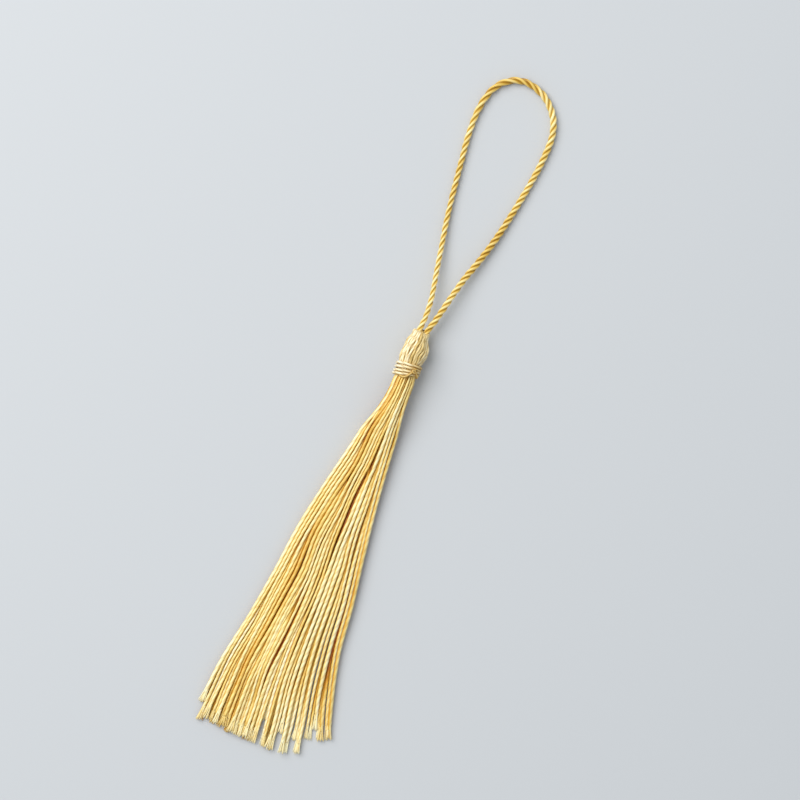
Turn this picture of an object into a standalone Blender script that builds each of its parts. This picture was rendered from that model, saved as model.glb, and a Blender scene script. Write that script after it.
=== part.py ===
# A tassel that lies on a flat surface: yarns folded over into a head, bound at the neck, that fall
# into a fringe skirt, and a twisted hanging loop that comes out of the head's crown.
# Metres, +Z up. +Y runs along the tassel towards the loop. The origin is on the surface, in the
# middle of the small flat spot under the head's widest place.

import math

import bmesh
import bpy
import numpy

# Driving sizes
TASSEL_LENGTH = 0.0820          # crown of the head to the longest strand end
CROWN_Y = 0.0036                # the crown lies this far towards the loop from the origin
HEAD_AXIS_HEIGHT = 0.00255      # the head's axis above the surface
STRAND_COUNT = 54
STRAND_SPACING = 0.00068        # a relaxed yarn's own thickness, centre to centre where two touch
STRAND_FILL = 0.73              # side of the four-sided strand over that spacing
CORD_DIAMETER = 0.00130
PIECE_GAP = 0.0003              # between separate pieces

GROOVE_RADIUS = 0.00162         # the neck under the binding

# The head, neck and collar, turned about the bundle's axis
# place, distance from the crown, radius, height of the yarn ridges
HEAD_SECTIONS = [
    ("crown edge", 0.00000, 0.00140, 0.00000),
    ("crown shoulder", 0.00035, 0.00182, 0.00010),
    ("upper side", 0.00110, 0.00212, 0.00012),
    ("upper bulge", 0.00200, 0.00238, 0.00013),
    ("widest place", 0.00280, 0.00253, 0.00013),
    ("widest foot", 0.00400, 0.00255, 0.00013),
    ("lower bulge", 0.00480, 0.00243, 0.00010),
    ("lower side", 0.00530, 0.00226, 0.00006),
    ("groove top", 0.00555, GROOVE_RADIUS, 0.00000),
    ("groove foot", 0.00905, GROOVE_RADIUS, 0.00000),
    ("collar top", 0.00930, 0.00205, 0.00000),
    ("collar side", 0.00975, 0.00220, 0.00000),
    ("collar foot", 0.01020, 0.00218, 0.00000),
]
HEAD_RIDGES = 26                # folded yarns that show round the head
POINTS_PER_RIDGE = 2
RIDGE_WANDER = 0.10             # radians that a ridge sways on its way down the head
BINDING_SLANT = 0.18            # rise of the binding and its groove across the width
# The slant comes in over the first two distances from the crown and goes out over the last two
SLANT_RANGE = (0.0030, 0.0052, 0.0092, 0.0102)
FLAT_DEPTH = 0.00020            # what the flat spot takes off the round underside

# The binding, one yarn wound round the neck
BINDING_YARN = 0.00050
BINDING_TURNS = 4.1
BINDING_PITCH = 0.00060
BINDING_STARTS = 0.00612        # distance from the crown to the middle of the first turn
BINDING_STEPS_PER_TURN = 20
BINDING_FIRST_ANGLE = -math.pi / 3.0    # where round the neck its first end is tucked in

# The skirt's outline as it lies, seen from above
# distance from the crown, left edge, right edge, spacing of the strands
SKIRT_OUTLINE = [
    (0.0096, -0.00210, 0.00210, 0.00046),
    (0.0160, -0.00345, 0.00265, 0.00054),
    (0.0240, -0.00495, 0.00320, 0.00060),
    (0.0330, -0.00690, 0.00415, 0.00065),
    (0.0420, -0.00850, 0.00535, STRAND_SPACING),
    (0.0510, -0.00950, 0.00675, STRAND_SPACING),
    (0.0600, -0.01080, 0.00775, STRAND_SPACING),
    (0.0690, -0.01245, 0.00985, STRAND_SPACING),
    (0.0780, -0.01330, 0.01260, STRAND_SPACING),
    (0.0830, -0.01350, 0.01380, STRAND_SPACING),
]
# Where the strands are cut off, from the left edge to the right edge
# place across the skirt, distance from the crown
CUT_LINE = [
    (-0.0130, 0.0785),
    (-0.0118, 0.0812),
    (-0.0053, 0.0816),
    (0.0022, 0.0818),
    (0.0067, 0.0809),
    (0.0084, 0.0784),
    (0.0120, 0.0765),
]
STATIONS = 13                   # sections of a strand from the collar to its end
STATION_CROWDING = 1.15         # above 1 brings the first sections closer together
PAST_THE_END = 0.0005           # the last section lies this far past the longest strand
LEAST_LAST_STEP = 0.001         # a section this close to a strand's cut end is left out
STRAND_DROP = 0.13              # steepest fall of a strand on its way to the surface
RANK_SWAP = 0.9                 # how far a strand may change its place among its neighbours
RANK_HASTE = 2.2                # how early a strand heads for its place at the ends
ROOT_MARGIN = 0.7               # from the outermost strands' middle to the collar's side, in spacings
NECK_TURNS = 200                # turns in which the strands settle in the collar
PUSH_SHARE = 0.5                # share of an overlap that one turn clears
SIDE_PULL = 0.12                # share of the way to its place that a strand moves each turn
SINK_SHARE = 0.5                # the same for its fall, over the side pull
PULLED_TURNS = 180
FREE_TURNS = 60                 # turns in which strands are only pushed apart
SMOOTHING_TURNS = 40
TOP_SHARE = 0.6                 # strands above this share of the height part at a parting
SHORT_ENDS = 0.0022             # how much shorter some strands are cut
SMOOTHING_SWEEPS = 12           # passes that straighten the strands along their length
SMOOTHING_SHARE = 0.25          # share of a bend that one pass takes out
SWAP_SEED = 2
CUT_SEED = 11
# Partings between strands that lie on top
# place across the skirt, first and last distance from the crown, half width
PARTINGS = [
    (0.00020, 0.0230, 0.0520, 0.00055),
    (-0.00330, 0.0400, 0.0640, 0.00040),
    (0.00370, 0.0480, 0.0660, 0.00040),
]

# The loop's route, from its left foot at the crown to its right one, chosen by hand
LOOP_ROUTE = [
    (-0.00078, 0.00395, 0.00260),
    (-0.00072, 0.00500, 0.00260),
    (-0.00062, 0.00640, 0.00256),
    (-0.00085, 0.01000, 0.00228),
    (-0.00180, 0.01500, 0.00170),
    (-0.00262, 0.01940, 0.00124),
    (-0.00344, 0.02364, 0.00092),
    (-0.00412, 0.02800, 0.00073),
    (-0.00466, 0.03200, 0.00066),
    (-0.00510, 0.03571, 0.00066),
    (-0.00552, 0.03909, 0.00066),
    (-0.00574, 0.04218, 0.00066),
    (-0.00570, 0.04571, 0.00066),
    (-0.00511, 0.04875, 0.00066),
    (-0.00388, 0.05115, 0.00066),
    (-0.00185, 0.05279, 0.00066),
    (0.00028, 0.05339, 0.00066),
    (0.00274, 0.05304, 0.00066),
    (0.00520, 0.05184, 0.00066),
    (0.00732, 0.04965, 0.00066),
    (0.00837, 0.04743, 0.00066),
    (0.00881, 0.04500, 0.00066),
    (0.00880, 0.04228, 0.00066),
    (0.00857, 0.03904, 0.00066),
    (0.00805, 0.03526, 0.00066),
    (0.00732, 0.03075, 0.00068),
    (0.00652, 0.02656, 0.00080),
    (0.00560, 0.02265, 0.00102),
    (0.00456, 0.01905, 0.00132),
    (0.00348, 0.01576, 0.00166),
    (0.00251, 0.01187, 0.00212),
    (0.00172, 0.00827, 0.00246),
    (0.00117, 0.00600, 0.00257),
    (0.00082, 0.00490, 0.00260),
    (0.00066, 0.00405, 0.00260),
]
CORD_PLIES = 3
CORD_LAY = 0.00435              # length in which the plies go once round
CORD_STEPS_PER_TURN = 9
CORD_VALLEY = 0.70              # radius between two plies over the cord's radius
ROUTE_SHARE = 0.05              # step along the smooth curve between two route points

WELD_DISTANCE = 0.000001        # corners of one cap or seam
HEAD_WELD_DISTANCE = 0.00001    # corners that meet on the head's axis

YARN_COLOUR = (0.86, 0.66, 0.30, 1.0)
CORD_COLOUR = (0.86, 0.58, 0.17, 1.0)


def clear_scene():
    for item in list(bpy.data.objects):
        bpy.data.objects.remove(item, do_unlink=True)


def make_collection(name):
    collection = bpy.data.collections.new(name)
    bpy.context.scene.collection.children.link(collection)
    return collection


def make_material(name, colour, roughness):
    material = bpy.data.materials.new(name)
    material.use_nodes = True
    shader = material.node_tree.nodes["Principled BSDF"]
    shader.inputs["Base Color"].default_value = colour
    shader.inputs["Roughness"].default_value = roughness
    shader.inputs["Metallic"].default_value = 0.0
    return material


def add_object(name, data, collection, material=None):
    item = bpy.data.objects.new(name, data)
    collection.objects.link(item)
    if material is not None:
        item.data.materials.append(material)
    return item


def mesh_from_curve(curve_object, name):
    """The curve as a closed mesh, with its end caps welded on."""
    depsgraph = bpy.context.evaluated_depsgraph_get()
    mesh = bpy.data.meshes.new_from_object(curve_object.evaluated_get(depsgraph))
    mesh.name = name
    work = bmesh.new()
    work.from_mesh(mesh)
    bmesh.ops.remove_doubles(work, verts=work.verts, dist=WELD_DISTANCE)
    bmesh.ops.recalc_face_normals(work, faces=work.faces)
    work.to_mesh(mesh)
    work.free()
    bpy.data.objects.remove(curve_object, do_unlink=True)
    return mesh


def mark_as_cutter(item):
    item.hide_render = True
    item.display_type = "WIRE"


def smooth_step(value, start, end):
    share = min(max((value - start) / (end - start), 0.0), 1.0)
    return share * share * (3.0 - 2.0 * share)


def slant_at(distance):
    """How far the bundle is sheared at this distance from the crown."""
    starts, full, fades, gone = SLANT_RANGE
    share = smooth_step(distance, starts, full) - smooth_step(distance, fades, gone)
    return BINDING_SLANT * share


# Head, neck and collar

def turned_head_mesh():
    """The head's profile turned about its axis, closed at the crown and at the collar's foot."""
    profile = bpy.data.meshes.new("head_profile")
    points = [(0.0, 0.0, HEAD_SECTIONS[-1][1])]
    for place, distance, radius, ridge in reversed(HEAD_SECTIONS):
        points.append((radius, 0.0, distance))
    points.append((0.0, 0.0, HEAD_SECTIONS[0][1]))
    edges = [(index, index + 1) for index in range(len(points) - 1)]
    profile.from_pydata(points, edges, [])
    turned = bpy.data.objects.new("head_turned", profile)
    bpy.context.scene.collection.objects.link(turned)
    screw = turned.modifiers.new("turn", "SCREW")
    screw.axis = "Z"
    screw.steps = HEAD_RIDGES * POINTS_PER_RIDGE
    screw.render_steps = screw.steps
    screw.use_merge_vertices = True
    screw.merge_threshold = HEAD_WELD_DISTANCE
    depsgraph = bpy.context.evaluated_depsgraph_get()
    mesh = bpy.data.meshes.new_from_object(turned.evaluated_get(depsgraph))
    mesh.name = "head_and_skirt"
    bpy.data.objects.remove(turned, do_unlink=True)
    return mesh


def ridge_height(distance):
    distances = [section[1] for section in HEAD_SECTIONS]
    heights = [section[3] for section in HEAD_SECTIONS]
    return float(numpy.interp(distance, distances, heights))


def lay_head_down(mesh):
    """Raise the folded yarns on the turned body, slant its groove and lay it along -Y."""
    half_step = math.pi / (HEAD_RIDGES * POINTS_PER_RIDGE)
    for vertex in mesh.vertices:
        distance = vertex.co.z
        radius = math.hypot(vertex.co.x, vertex.co.y)
        angle = math.atan2(vertex.co.y, vertex.co.x)
        if radius > 0.0:
            radius += ridge_height(distance) * math.cos(HEAD_RIDGES * angle)
        share = distance / HEAD_SECTIONS[-1][1]
        angle += RIDGE_WANDER * math.sin(math.tau * share) + half_step
        across = radius * math.cos(angle)
        height = HEAD_AXIS_HEIGHT + radius * math.sin(angle)
        if height < FLAT_DEPTH:
            height = 0.0
        along = CROWN_Y - distance + slant_at(distance) * across
        vertex.co = (across, along, height)
    work = bmesh.new()
    work.from_mesh(mesh)
    bmesh.ops.remove_doubles(work, verts=work.verts, dist=HEAD_WELD_DISTANCE)
    flat_spot = [face for face in work.faces if all(corner.co.z == 0.0 for corner in face.verts)]
    bmesh.ops.dissolve_faces(work, faces=flat_spot)
    bmesh.ops.recalc_face_normals(work, faces=work.faces)
    work.to_mesh(mesh)
    work.free()
    mesh.shade_flat()


# Skirt

def push_apart(across, height, spacing):
    """One pass that moves each pair of strands that is too close half the way apart each."""
    gap_across = across[:, None] - across[None, :]
    gap_height = height[:, None] - height[None, :]
    reach = (gap_across ** 4 + gap_height ** 4) ** 0.25
    numpy.fill_diagonal(reach, 1.0)
    lack = numpy.clip(spacing - reach, 0.0, None) / 2.0
    length = numpy.hypot(gap_across, gap_height) + 1e-9
    across = across + PUSH_SHARE * (lack * gap_across / length).sum(axis=1)
    height = height + PUSH_SHARE * (lack * gap_height / length).sum(axis=1)
    return across, height


def packed_in_neck(spacing):
    """Places of the strands in the collar's round section, as seeds sit in a sunflower."""
    golden_angle = math.pi * (3.0 - math.sqrt(5.0))
    room = HEAD_SECTIONS[-1][2] - spacing * ROOT_MARGIN
    number = numpy.arange(STRAND_COUNT)
    radius = room * numpy.sqrt((number + 0.5) / STRAND_COUNT)
    across = radius * numpy.cos(number * golden_angle)
    height = radius * numpy.sin(number * golden_angle)
    for turn in range(NECK_TURNS):
        across, height = push_apart(across, height, spacing)
        out = numpy.maximum(numpy.hypot(across, height) / room, 1.0)
        across = across / out
        height = height / out
    return across, height + HEAD_AXIS_HEIGHT


def strand_paths():
    """Sections of every strand from the collar to the cut ends.

    The bundle leaves the collar round. From section to section each strand heads for its place
    across the skirt's outline and sinks towards the surface, and no two come closer than a
    yarn's thickness. Returns distances from the crown, places across, heights and spacings.
    """
    chance = numpy.random.default_rng(SWAP_SEED)
    outline = numpy.array(SKIRT_OUTLINE)
    share = (numpy.arange(STATIONS) / (STATIONS - 1)) ** STATION_CROWDING
    distances = outline[0, 0] + share * (TASSEL_LENGTH + PAST_THE_END - outline[0, 0])
    left = numpy.interp(distances, outline[:, 0], outline[:, 1])
    right = numpy.interp(distances, outline[:, 0], outline[:, 2])
    spacings = numpy.interp(distances, outline[:, 0], outline[:, 3])
    across, height = packed_in_neck(spacings[0])
    neck_share = (across - across.min()) / (across.max() - across.min())
    swaps = chance.uniform(-RANK_SWAP, RANK_SWAP, STRAND_COUNT) * STRAND_SPACING / 2.0
    rank = numpy.argsort(numpy.argsort(across + swaps))
    end_share = rank / (STRAND_COUNT - 1)
    all_across = [across]
    all_height = [height]
    for station in range(1, STATIONS):
        spacing = spacings[station]
        step = distances[station] - distances[station - 1]
        travel = min(share[station] * RANK_HASTE, 1.0)
        place = neck_share + (end_share - neck_share) * travel
        low = left[station] + spacing / 2.0
        high = right[station] - spacing / 2.0
        target = low + (high - low) * place
        lowest = numpy.maximum(height - STRAND_DROP * step, spacing / 2.0)
        for middle, first, last, half in PARTINGS:
            if first < distances[station] < last:
                near = numpy.abs(target - middle) < half
                on_top = height > TOP_SHARE * height.max()
                side = numpy.where(target < middle, -half, half)
                target = numpy.where(near & on_top, middle + side, target)
        for turn in range(PULLED_TURNS + FREE_TURNS):
            pull = SIDE_PULL if turn < PULLED_TURNS else 0.0
            across = across + pull * (target - across)
            height = height + pull * SINK_SHARE * (lowest - height)
            across, height = push_apart(across, height, spacing)
            across = numpy.clip(across, low, high)
            height = numpy.maximum(height, lowest)
        all_across.append(across)
        all_height.append(height)
    all_across = numpy.array(all_across)
    all_height = numpy.array(all_height)
    for sweep in range(SMOOTHING_SWEEPS):
        for places in (all_across, all_height):
            bend = places[:-2] - 2.0 * places[1:-1] + places[2:]
            places[1:-1] += SMOOTHING_SHARE * bend
        for station in range(1, STATIONS):
            spacing = spacings[station]
            across = all_across[station]
            height = all_height[station]
            for turn in range(SMOOTHING_TURNS):
                across, height = push_apart(across, height, spacing)
                height = numpy.maximum(height, spacing / 2.0)
            all_across[station] = across
            all_height[station] = height
    return distances, all_across, all_height, spacings


def cut_distances(final_across):
    """Distance from the crown at which each strand is cut off."""
    chance = numpy.random.default_rng(CUT_SEED)
    line = numpy.array(CUT_LINE)
    cut = numpy.interp(final_across, line[:, 0], line[:, 1])
    shortened = chance.random(STRAND_COUNT) ** 3
    return cut - SHORT_ENDS * shortened


def skirt_mesh():
    """All strands as four-sided tubes with a flat side down, still apart from the collar."""
    distances, across, height, spacings = strand_paths()
    cuts = cut_distances(across[-1])
    side = STRAND_FILL * spacings
    curve = bpy.data.curves.new("skirt_strands", "CURVE")
    curve.dimensions = "3D"
    curve.twist_mode = "Z_UP"
    curve.bevel_depth = STRAND_FILL * STRAND_SPACING / math.sqrt(2.0)
    curve.bevel_resolution = 0
    curve.use_fill_caps = True
    for strand in range(STRAND_COUNT):
        kept = distances < cuts[strand] - LEAST_LAST_STEP
        stops = numpy.append(distances[kept], cuts[strand])
        sides = numpy.interp(stops, distances, side)
        xs = numpy.interp(stops, distances, across[:, strand])
        spare = (spacings - side) / 2.0
        zs = numpy.interp(stops, distances, height[:, strand] - spare)
        spline = curve.splines.new("POLY")
        spline.points.add(len(stops) - 1)
        for point, x, stop, z, width in zip(spline.points, xs, stops, zs, sides):
            point.co = (x, CROWN_Y - stop, z, 1.0)
            point.radius = width / (STRAND_FILL * STRAND_SPACING)
            point.tilt = math.pi / 4.0
    strands = bpy.data.objects.new("skirt_strands", curve)
    bpy.context.scene.collection.objects.link(strands)
    return mesh_from_curve(strands, "skirt_strands")


def make_head_and_skirt(parts, cutters, material):
    mesh = turned_head_mesh()
    lay_head_down(mesh)
    head = add_object("head_and_skirt", mesh, parts, material)
    skirt = add_object("skirt_strands", skirt_mesh(), cutters)
    mark_as_cutter(skirt)
    union = head.modifiers.new("roots_in_collar", "BOOLEAN")
    union.operation = "UNION"
    union.solver = "EXACT"
    union.object = skirt
    return head


# Binding

def make_binding(parts, material):
    """One yarn wound round the neck, its turns slanted as the groove is."""
    radius = GROOVE_RADIUS + PIECE_GAP + BINDING_YARN / 2.0
    steps = int(BINDING_TURNS * BINDING_STEPS_PER_TURN)
    curve = bpy.data.curves.new("neck_binding", "CURVE")
    curve.dimensions = "3D"
    curve.bevel_depth = BINDING_YARN / 2.0
    curve.bevel_resolution = 1
    curve.use_fill_caps = True
    spline = curve.splines.new("POLY")
    spline.points.add(steps)
    for index, point in enumerate(spline.points):
        turned = index / BINDING_STEPS_PER_TURN
        angle = math.tau * turned + BINDING_FIRST_ANGLE
        across = radius * math.cos(angle)
        distance = BINDING_STARTS + BINDING_PITCH * turned
        along = CROWN_Y - distance + slant_at(distance) * across
        point.co = (across, along, HEAD_AXIS_HEIGHT + radius * math.sin(angle), 1.0)
    wound = bpy.data.objects.new("binding_curve", curve)
    bpy.context.scene.collection.objects.link(wound)
    mesh = mesh_from_curve(wound, "neck_binding")
    mesh.shade_smooth()
    return add_object("neck_binding", mesh, parts, material)


# Hanging loop

def smooth_route(points, count):
    """Evenly spaced points on one smooth curve through the route's points."""
    knots = numpy.array(points)
    before = 2.0 * knots[0] - knots[1]
    after = 2.0 * knots[-1] - knots[-2]
    knots = numpy.vstack([before, knots, after])
    fine = []
    for index in range(1, len(knots) - 2):
        a, b, c, d = knots[index - 1:index + 3]
        for share in numpy.arange(0.0, 1.0, ROUTE_SHARE):
            fine.append(0.5 * (2.0 * b + (c - a) * share
                               + (2.0 * a - 5.0 * b + 4.0 * c - d) * share ** 2
                               + (3.0 * b - a - 3.0 * c + d) * share ** 3))
    fine.append(knots[-2])
    fine = numpy.array(fine)
    lengths = numpy.linalg.norm(numpy.diff(fine, axis=0), axis=1)
    reached = numpy.concatenate([[0.0], numpy.cumsum(lengths)])
    even = numpy.linspace(0.0, reached[-1], count)
    route = numpy.column_stack([numpy.interp(even, reached, fine[:, axis]) for axis in range(3)])
    return route, float(reached[-1])


def make_ply_section(cutters):
    """The cord's section, a lobe for each ply."""
    curve = bpy.data.curves.new("cord_section", "CURVE")
    curve.dimensions = "2D"
    spline = curve.splines.new("POLY")
    corners = 2 * CORD_PLIES
    spline.points.add(corners - 1)
    spline.use_cyclic_u = True
    for index, point in enumerate(spline.points):
        radius = CORD_DIAMETER / 2.0 if index % 2 == 0 else CORD_VALLEY * CORD_DIAMETER / 2.0
        angle = math.tau * index / corners
        point.co = (radius * math.cos(angle), radius * math.sin(angle), 0.0, 1.0)
    section = add_object("cord_section", curve, cutters)
    mark_as_cutter(section)
    return section


def make_hanging_loop(parts, cutters, material):
    """The twisted cord: its plies turn right-handed, once in each lay's length."""
    length = smooth_route(LOOP_ROUTE, 2)[1]
    steps = round(length / CORD_LAY * CORD_STEPS_PER_TURN)
    route = smooth_route(LOOP_ROUTE, steps + 1)[0]
    curve = bpy.data.curves.new("hanging_loop", "CURVE")
    curve.dimensions = "3D"
    curve.twist_mode = "Z_UP"
    curve.bevel_mode = "OBJECT"
    curve.bevel_object = make_ply_section(cutters)
    curve.use_fill_caps = True
    spline = curve.splines.new("POLY")
    spline.points.add(steps)
    for index, point in enumerate(spline.points):
        point.co = (*route[index], 1.0)
        point.tilt = math.tau * index / CORD_STEPS_PER_TURN
    loop = bpy.data.objects.new("loop_curve", curve)
    bpy.context.scene.collection.objects.link(loop)
    mesh = mesh_from_curve(loop, "hanging_loop")
    mesh.shade_smooth()
    return add_object("hanging_loop", mesh, parts, material)


def main():
    clear_scene()
    parts = make_collection("tassel")
    cutters = make_collection("tassel_cutters")
    yarn = make_material("silky_yarn", YARN_COLOUR, 0.45)
    wrap = make_material("binding_yarn", YARN_COLOUR, 0.45)
    cord = make_material("twisted_cord", CORD_COLOUR, 0.42)
    make_head_and_skirt(parts, cutters, yarn)
    make_binding(parts, wrap)
    make_hanging_loop(parts, cutters, cord)


main()
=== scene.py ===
# The looks of a gold tassel that lies on a pale surface, seen from straight above.
# Metres, +Z up, in the part's frame: +Y runs towards the hanging loop, and the origin is on the
# surface under the head.

import math

import bpy
import numpy
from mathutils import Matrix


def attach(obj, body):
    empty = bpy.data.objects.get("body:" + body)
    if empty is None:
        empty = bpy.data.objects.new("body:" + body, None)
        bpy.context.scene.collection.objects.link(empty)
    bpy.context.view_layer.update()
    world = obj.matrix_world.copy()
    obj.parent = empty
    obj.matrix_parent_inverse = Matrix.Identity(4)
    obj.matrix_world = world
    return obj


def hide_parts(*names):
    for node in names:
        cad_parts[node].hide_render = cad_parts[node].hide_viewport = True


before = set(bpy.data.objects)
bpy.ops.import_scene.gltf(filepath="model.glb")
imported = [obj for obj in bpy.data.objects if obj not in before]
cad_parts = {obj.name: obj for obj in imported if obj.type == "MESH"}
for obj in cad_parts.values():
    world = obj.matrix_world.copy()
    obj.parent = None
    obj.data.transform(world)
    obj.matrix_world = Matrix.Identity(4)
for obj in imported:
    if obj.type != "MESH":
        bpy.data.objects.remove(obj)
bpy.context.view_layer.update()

BUILD_SEED = 5  # each piece adds its own number to it

# The camera, straight above the tassel
VIEW_CENTRE = (0.00065, -0.00934)
VIEW_TURN = math.radians(21.7)  # the tassel lies aslant in the picture
VIEW_HEIGHT = 0.600
VIEW_WIDTH = 0.14706  # what the picture's width covers on the surface
SENSOR_WIDTH = 36.0

# The tassel's main sizes
TASSEL_LENGTH = 0.0820  # crown of the head to the longest strand end
CROWN_Y = 0.0036  # the crown lies this far towards the loop from the origin
AXIS_HEIGHT = 0.00255  # the head's axis above the surface
STRAND_COUNT = 54
STRAND_SPACING = 0.00068
COLLAR_RADIUS = 0.00218
# distance from the crown, left edge, right edge, spacing of the strands
SKIRT_OUTLINE = [
    (0.0096, -0.00225, 0.00225, 0.00046),
    (0.0160, -0.00345, 0.00265, 0.00056),
    (0.0240, -0.00495, 0.00320, 0.00063),
    (0.0330, -0.00690, 0.00415, 0.00067),
    (0.0420, -0.00850, 0.00535, STRAND_SPACING),
    (0.0510, -0.00950, 0.00675, STRAND_SPACING),
    (0.0600, -0.01080, 0.00775, STRAND_SPACING),
    (0.0690, -0.01245, 0.00985, STRAND_SPACING),
    (0.0770, -0.01320, 0.01225, STRAND_SPACING),
    (0.0830, -0.01350, 0.01380, STRAND_SPACING),
]
ROOT_MARGIN = 0.7  # from a strand's middle to the collar's side, in spacings
NECK_TURNS = 200  # turns in which the strands settle in the neck
PUSH_SHARE = 0.5  # share of an overlap that one turn clears

# The loop's route, from its left foot at the crown to its right one
LOOP_ROUTE = [
    (-0.00078, 0.00395, 0.00260),
    (-0.00072, 0.00500, 0.00260),
    (-0.00062, 0.00640, 0.00256),
    (-0.00085, 0.01000, 0.00228),
    (-0.00180, 0.01500, 0.00170),
    (-0.00262, 0.01940, 0.00124),
    (-0.00344, 0.02364, 0.00092),
    (-0.00412, 0.02800, 0.00073),
    (-0.00466, 0.03200, 0.00066),
    (-0.00510, 0.03571, 0.00066),
    (-0.00552, 0.03909, 0.00066),
    (-0.00574, 0.04218, 0.00066),
    (-0.00570, 0.04571, 0.00066),
    (-0.00511, 0.04875, 0.00066),
    (-0.00388, 0.05115, 0.00066),
    (-0.00185, 0.05279, 0.00066),
    (0.00028, 0.05339, 0.00066),
    (0.00274, 0.05304, 0.00066),
    (0.00520, 0.05184, 0.00066),
    (0.00732, 0.04965, 0.00066),
    (0.00837, 0.04743, 0.00066),
    (0.00881, 0.04500, 0.00066),
    (0.00880, 0.04228, 0.00066),
    (0.00857, 0.03904, 0.00066),
    (0.00805, 0.03526, 0.00066),
    (0.00732, 0.03075, 0.00068),
    (0.00652, 0.02656, 0.00080),
    (0.00560, 0.02265, 0.00102),
    (0.00456, 0.01905, 0.00132),
    (0.00348, 0.01576, 0.00166),
    (0.00251, 0.01187, 0.00212),
    (0.00172, 0.00827, 0.00246),
    (0.00117, 0.00600, 0.00257),
    (0.00082, 0.00490, 0.00260),
    (0.00066, 0.00405, 0.00260),
]
CORD_PLIES = 3
PLY_RADIUS = 0.00031
PLY_OFFSET = 0.00034  # a ply's middle to the cord's middle
PLY_SIDES = 18
PLY_RIBS = 6  # bundles of filaments that show round a ply
RIB_DEPTH = 0.045  # of the ply's radius
PLY_STRAY = (0.009, 0.000012)  # slow waves: length, how far a ply strays from its place
PLY_SWELL = (0.006, 0.000012)  # and how much thicker and thinner it gets
PLY_TWIST = -1.15  # a ply's own turns for each round, the other way
PLY_TONES = 0.10  # between one ply's tone and the next one's
CORD_STEP = 0.00015
CORD_SINK = 0.0012  # how far its feet go on into the head
ROUTE_SHARE = 0.05  # step of a smooth route between two of its points
# share of the way along the cord, length in which the plies go once round, thickness, tone
CORD_LAYS = [
    (0.00, 0.0042, 0.80, 0.82),
    (0.13, 0.0045, 0.78, 0.86),
    (0.20, 0.0047, 0.80, 0.74),
    (0.28, 0.0047, 0.83, 0.66),
    (0.36, 0.0050, 0.88, 0.80),
    (0.42, 0.0072, 0.95, 0.62),
    (0.50, 0.0062, 1.00, 0.56),
    (0.56, 0.0046, 1.00, 0.92),
    (0.62, 0.0044, 0.95, 0.74),
    (0.70, 0.0044, 0.90, 0.78),
    (0.76, 0.0044, 0.93, 0.60),
    (0.84, 0.0044, 0.95, 0.54),
    (0.91, 0.0044, 0.92, 0.78),
    (1.00, 0.0044, 0.88, 0.62),
]

# A yarn of two plies that hardly part
YARN_PLIES = 2
YARN_SIDES = 16
YARN_STEP = 0.0003
WOUND_STEP = 0.0002  # for yarns that turn tightly
YARN_RADIUS = 0.00028
PLY_SHARE = 0.022  # how far the plies stand out, as a share of the radius
RIB_SHARE = 0.02  # the same for the bundles of filaments
YARN_RIBS = 4
RIB_TURN = 1.0  # radians from a ply's crest to a bundle's
YARN_TWIST = 0.0034  # length in which the plies go once round
FLANK_PAINTED_SHADE = 0.70  # painted shade: a yarn's colour is deeper at its flanks
TOP_SHARE = 0.75  # where up its side it has its own tone; higher up it gets painted light, lower down painted shade

# A slow wave has a long swing and a short one
LONG_SWING = (0.8, 1.25)  # length, as a share of the wave's own
SHORT_SWING = (0.35, 0.55)
LONG_SHARE = 0.7  # of the wave's height
SHORT_SHARE = 0.3


def place(name, data, material):
    """A new object of the tassel, which moves with the part's only body."""
    piece = bpy.data.objects.new(name, data)
    bpy.context.scene.collection.objects.link(piece)
    data.materials.append(material)
    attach(piece, "root")
    return piece


# Camera

def make_camera():
    camera = bpy.data.objects.new("camera", bpy.data.cameras.new("camera"))
    bpy.context.scene.collection.objects.link(camera)
    camera.data.sensor_width = SENSOR_WIDTH
    camera.data.lens = SENSOR_WIDTH * VIEW_HEIGHT / VIEW_WIDTH
    camera.location = (VIEW_CENTRE[0], VIEW_CENTRE[1], VIEW_HEIGHT)
    camera.rotation_euler = (0.0, 0.0, VIEW_TURN)
    bpy.context.scene.camera = camera


# Tubes

def unit(vectors):
    return vectors / numpy.linalg.norm(vectors, axis=-1, keepdims=True)


def smooth_route(points, count):
    """Evenly spaced points on one smooth curve through the route's points, and its length."""
    knots = numpy.array(points, float)
    before = 2.0 * knots[0] - knots[1]
    after = 2.0 * knots[-1] - knots[-2]
    knots = numpy.vstack([before, knots, after])
    fine = []
    for index in range(1, len(knots) - 2):
        a, b, c, d = knots[index - 1:index + 3]
        for share in numpy.arange(0.0, 1.0, ROUTE_SHARE):
            fine.append(0.5 * (2.0 * b + (c - a) * share
                               + (2.0 * a - 5.0 * b + 4.0 * c - d) * share ** 2
                               + (3.0 * b - a - 3.0 * c + d) * share ** 3))
    fine.append(knots[-2])
    fine = numpy.array(fine)
    lengths = numpy.linalg.norm(numpy.diff(fine, axis=0), axis=1)
    reached = numpy.concatenate([[0.0], numpy.cumsum(lengths)])
    even = numpy.linspace(0.0, reached[-1], count)
    axes = range(knots.shape[1])
    route = numpy.column_stack([numpy.interp(even, reached, fine[:, axis]) for axis in axes])
    return route, float(reached[-1])


def smooth_values(at, known_at, known):
    """Values on smooth curves through the known ones, one column for each curve."""
    slopes = numpy.gradient(known, known_at, axis=0)
    last = numpy.clip(numpy.searchsorted(known_at, at) - 1, 0, len(known_at) - 2)
    width = known_at[last + 1] - known_at[last]
    share = (at - known_at[last]) / width
    shape = (-1,) + (1,) * (known.ndim - 1)
    share = share.reshape(shape)
    width = width.reshape(shape)
    rise = share * share * (3.0 - 2.0 * share)
    start_pull = share * (1.0 - share) ** 2
    end_pull = share * share * (share - 1.0)
    middle = known[last] * (1.0 - rise) + known[last + 1] * rise
    return middle + width * (start_pull * slopes[last] + end_pull * slopes[last + 1])


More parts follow.
